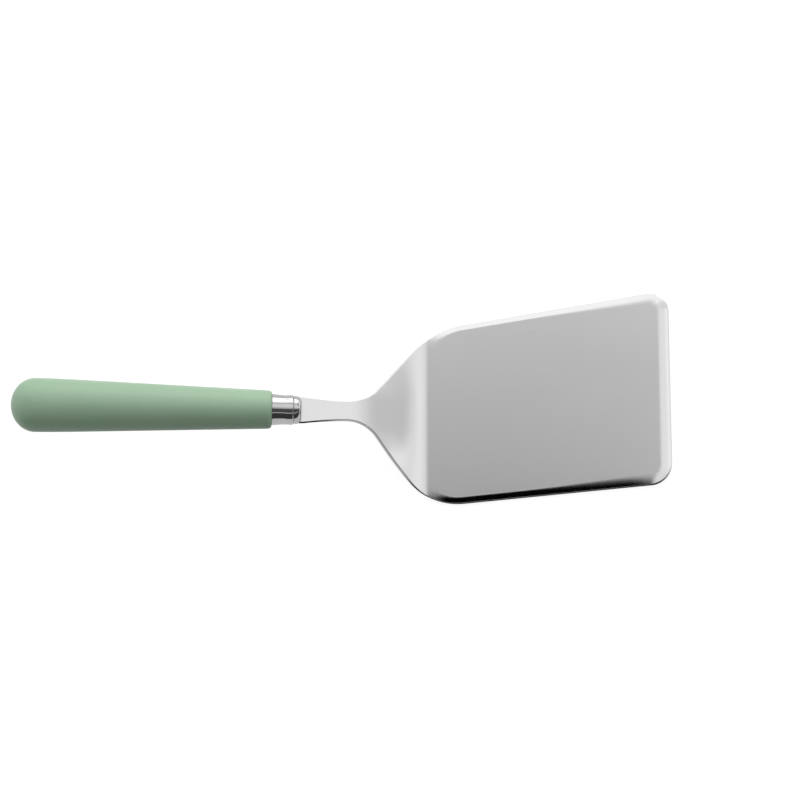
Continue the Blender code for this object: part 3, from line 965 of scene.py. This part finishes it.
spigot_back = DOME_BASE + BOLSTER_SPIGOT
slot_floor = SHANK_SEAT + SEAM
base_edge = (DOME_RADIUS - BASE_ROUND, DOME_RADIUS, DOME_BASE, DOME_BASE - BASE_ROUND)
spigot_side = [(spigot_radius, DOME_BASE), (spigot_radius, spigot_back)]
back_profile = [*quarter(*base_edge, BASE_ROUND_POINTS)[::-1], *spigot_side]
rows = [on_axis(*circle_loop(radius), place) for radius, place in back_profile]
rows += [
    on_axis(narrow_up, narrow_across, spigot_back),
    on_axis(narrow_up, narrow_across, slot_floor),
    on_axis(wide_up, wide_across, slot_floor),
]
bolster_grids = [(np.concatenate([dome, rows]), True, True)]
add_piece("domed_bolster", bolster_grids, "bolster", chrome)

# %% [markdown]
# ## The hidden adhesive
#
# The tang is held by cured adhesive in the handle's bore. Its CAD solid is right as it is, so
# it stays, and only its finish is made: a cloudy amber resin with small bubbles.

# %% The hidden adhesive
AMBER = (0.46, 0.36, 0.20, 1)
AMBER_CLOUD = (0.62, 0.54, 0.38, 1)
ADHESIVE_ROUGHNESS = (0.45, 0.60)

glue, shader, add, join = new_finish("cured_amber_adhesive")
place = add("TexCoord", {}).outputs["Object"]
cloud_noise = {"Vector": place, "Scale": 300, "Detail": 3, "Roughness": 0.5}
cloud = add("TexNoise", cloud_noise).outputs["Fac"]
bubbles = add("TexVoronoi", {"Vector": place, "Scale": 900}).outputs["Distance"]
bubbles_bump = {"Strength": 0.3, "Distance": 0.00005, "Height": bubbles}
join(
    shader,
    {
        "Base Color": tinted(add, eased(add, cloud, 0, 1), AMBER, AMBER_CLOUD),
        "Roughness": eased(add, cloud, *ADHESIVE_ROUGHNESS),
        "Normal": add("Bump", bubbles_bump).outputs["Normal"],
    },
)
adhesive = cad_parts["tang_adhesive"]
adhesive.data.materials.clear()
adhesive.data.materials.append(glue)
print("adhesive keeps its CAD mesh:", len(adhesive.data.polygons), "faces")

# %% [markdown]
# ## Floor and room
#
# The photograph's ground is plain white. The floor glows where the camera, a mirror or glass
# looks at it, through the Light Path node, with a strength below 1. It keeps a share of its own
# shading on top, which brings it to white and lets the object still cast a faint shadow on it.
# To soft light it is a dark grey, as in a studio where little light comes back from below. The
# room is one plain pale grey for all rays: it gives the steel its middle tone between lamps.

# %% Floor and room
FLOOR_GLOW = 0.90
FLOOR_SHADED = (0.20, 0.20, 0.20, 1)
FLOOR_TO_SOFT_LIGHT = (0.12, 0.12, 0.12, 1)
ROOM = (0.80, 0.80, 0.80, 1)
FLOOR_HALF = 4.0
FLOOR_LEVEL = -0.0001
FLOOR_CORNERS = ((-1, -1), (1, -1), (1, 1), (-1, 1))


def seen_directly(add):
    """1 for rays of the camera, of mirrors and of glass, and 0 for all other rays."""
    path = add("LightPath", {})
    seen = path.outputs["Is Camera Ray"]
    for other in ("Is Glossy Ray", "Is Transmission Ray"):
        seen = add("Math", {0: seen, 1: path.outputs[other]}, operation="MAXIMUM").outputs[0]
    return seen


def studio_sheet(name, corners, material):
    """A flat sheet with four corners, which belongs to the studio and not to the server."""
    mesh = bpy.data.meshes.new(name)
    mesh.from_pydata(corners, [], [(0, 1, 2, 3)])
    mesh.materials.append(material)
    sheet = bpy.data.objects.new(name, mesh)
    bpy.context.scene.collection.objects.link(sheet)
    return sheet


white, shader, add, join = new_finish("white_floor")
white.node_tree.nodes.remove(shader)
glow = add("Emission", {"Strength": FLOOR_GLOW}).outputs[0]
shaded = add("BsdfDiffuse", {"Color": FLOOR_SHADED}).outputs[0]
glowing = add("AddShader", {0: glow, 1: shaded}).outputs[0]
pale = add("BsdfDiffuse", {"Color": FLOOR_TO_SOFT_LIGHT}).outputs[0]
surface = add("MixShader", {0: seen_directly(add), 1: pale, 2: glowing}).outputs[0]
join(white.node_tree.nodes["Material Output"], {"Surface": surface})
corners = [(x * FLOOR_HALF, y * FLOOR_HALF, FLOOR_LEVEL) for x, y in FLOOR_CORNERS]
studio_sheet("studio_floor", corners, white)

world = bpy.data.worlds.new("pale_room")
bpy.context.scene.world = world
world.use_nodes = True
world.node_tree.nodes["Background"].inputs["Color"].default_value = ROOM
print("floor", 2 * FLOOR_HALF, "m wide")

# %% [markdown]
# ## Lamps and cards
#
# Polished metal shows its surroundings, so a photographer lights it with large soft lamps and
# shapes it with cards. The lamps are wide and dim, so a colour renders about as it is written.
#
# - Three softboxes over the object give the bright heel band, the shank and the front facet,
#   and two wings beside them give the neck's near flank.
# - Two behind it give the far facet and the ferrule's white band, and a small one below them
#   the band's lower part. A low one at the side gives the white rims.
# - A black card overhead gives the near facet's black, a strip and a narrow card beside it the
#   soft fall of light across the plate and into the heel, and a grey flag the neck's tone.
# - Two cards at the front, with a narrow slit between them, give the ferrule's dark band with
#   its thin streak.

# %% Lamps and cards


def softbox(name, centre, aim, width, depth, radiance):
    """A rectangular lamp. Its power is radiance * pi * area, in watts."""
    lamp = bpy.data.lights.new(name, "AREA")
    lamp.shape = "RECTANGLE"
    lamp.size, lamp.size_y = width, depth
    lamp.energy = radiance * pi * width * depth
    box = bpy.data.objects.new(name, lamp)
    box.location = centre
    box.rotation_mode = "QUATERNION"
    box.rotation_quaternion = (Vector(centre) - Vector(aim)).to_track_quat("Z", "Y")
    box.visible_camera = False
    bpy.context.scene.collection.objects.link(box)
    print(f"{name}: {lamp.energy:.1f} W over {width * depth:.2f} m2")


def dull(name, level):
    """A plain matt card of one grey."""
    material, shader, _, join = new_finish(name)
    grey = (level, level, level, 1)
    join(shader, {"Base Color": grey, "Roughness": 1.0, "Specular IOR Level": 0.0})
    return material


def card(name, material, left, right, upper, lower):
    """A card between x = left and right, from its upper to its lower (y, z) edge.

    The camera looks through it, as it would past a card that stands just outside its view.
    """
    corners = [(left, *upper), (left, *lower), (right, *lower), (right, *upper)]
    studio_sheet(name, corners, material).visible_camera = False


black = dull("black_velvet", 0.012)
dark_grey = dull("dark_grey_card", 0.10)
charcoal = dull("charcoal_card", 0.22)
softbox("overhead_softbox", (0.260, 0.19, 0.80), (0.260, 0.19, 0.0), 0.72, 0.44, 0.43)
softbox("band_softbox", (0.415, 0.24, 0.79), (0.415, 0.24, 0.0), 0.41, 0.42, 0.16)
softbox("overhead_rear", (0.275, 0.58, 0.80), (0.275, 0.58, 0.0), 0.69, 0.34, 0.30)
softbox("overhead_wing", (0.72, 0.32, 0.78), (0.72, 0.32, 0.0), 0.20, 0.60, 0.34)
softbox("near_wing", (0.98, 0.17, 0.76), (0.98, 0.17, 0.0), 0.34, 0.36, 1.45)
softbox("back_softbox", (0.36, 0.90, 0.50), (0.36, 0.0, 0.43), 0.58, 0.82, 1.85)
softbox("low_back_softbox", (0.00, 0.90, 0.21), (0.00, 0.0, 0.15), 0.14, 0.24, 1.85)
softbox("far_back_softbox", (-0.48, 0.93, 0.78), (-0.23, 0.0, 0.10), 0.95, 0.84, 0.72)
softbox("low_side_softbox", (0.92, 0.66, 0.13), (-0.09, 0.0, 0.05), 1.30, 0.24, 1.50)
card("overhead_card", black, -0.38, -0.09, (0.103, 0.50), (-0.25, 0.50))
card("plate_strip", black, -0.38, -0.07, (0.202, 0.50), (0.180, 0.50))
card("heel_card", black, -0.56, -0.38, (0.040, 0.50), (-0.17, 0.50))
card("neck_flag", charcoal, 0.50, 0.66, (0.34, 0.26), (0.13, 0.26))
card("upper_front_card", charcoal, -0.09, 1.80, (-0.11, 0.50), (-0.245, 0.285))
card("lower_front_card", dark_grey, -0.75, 1.80, (-0.245, 0.235), (-0.25, 0.020))

# %% [markdown]
# ## Camera
#
# The camera stands 1.6 m away behind a long lens and looks down at 60 degrees. It is rolled by
# 50 degrees, so that the server lies level in the picture although its handle rises from the
# table. The aim is the point on the picture's middle axis.

# %% Camera
CAMERA_AZIMUTH = radians(46.2665)
CAMERA_ELEVATION = radians(60.3470)
CAMERA_ROLL = radians(-50.1034)
CAMERA_DISTANCE = 1.61535
CAMERA_AIM = Vector((-0.066572, 0.007653, 0.007937))
IMAGE_WIDTH = 800
MILLIMETRES_A_PIXEL = 0.436
SENSOR = 36.0
CAMERA_REACH = 30

back = Vector(
    (
        sin(CAMERA_AZIMUTH) * cos(CAMERA_ELEVATION),
        -cos(CAMERA_AZIMUTH) * cos(CAMERA_ELEVATION),
        sin(CAMERA_ELEVATION),
    )
)
level_right = Vector((cos(CAMERA_AZIMUTH), sin(CAMERA_AZIMUTH), 0))
right = level_right * cos(CAMERA_ROLL) + back.cross(level_right) * sin(CAMERA_ROLL)
camera = bpy.data.cameras.new("studio_camera")
camera.sensor_width = SENSOR
camera.lens = SENSOR * 1000 * CAMERA_DISTANCE / (MILLIMETRES_A_PIXEL * IMAGE_WIDTH)
camera.clip_end = CAMERA_REACH
viewer = bpy.data.objects.new("studio_camera", camera)
turn = Matrix((right, back.cross(right), back)).transposed()
viewer.matrix_world = Matrix.Translation(CAMERA_AIM + back * CAMERA_DISTANCE) @ turn.to_4x4()
bpy.context.scene.collection.objects.link(viewer)
bpy.context.scene.camera = viewer
bpy.context.scene.view_settings.view_transform = "Standard"
print(f"lens {camera.lens:.1f} mm")

# %% [markdown]
# ## The CAD model's box
#
# The dressed model is made to stay inside the CAD model's box, which is printed here.

# %% The CAD model's box
print("CAD box", np.round(cad_box, 5).tolist())
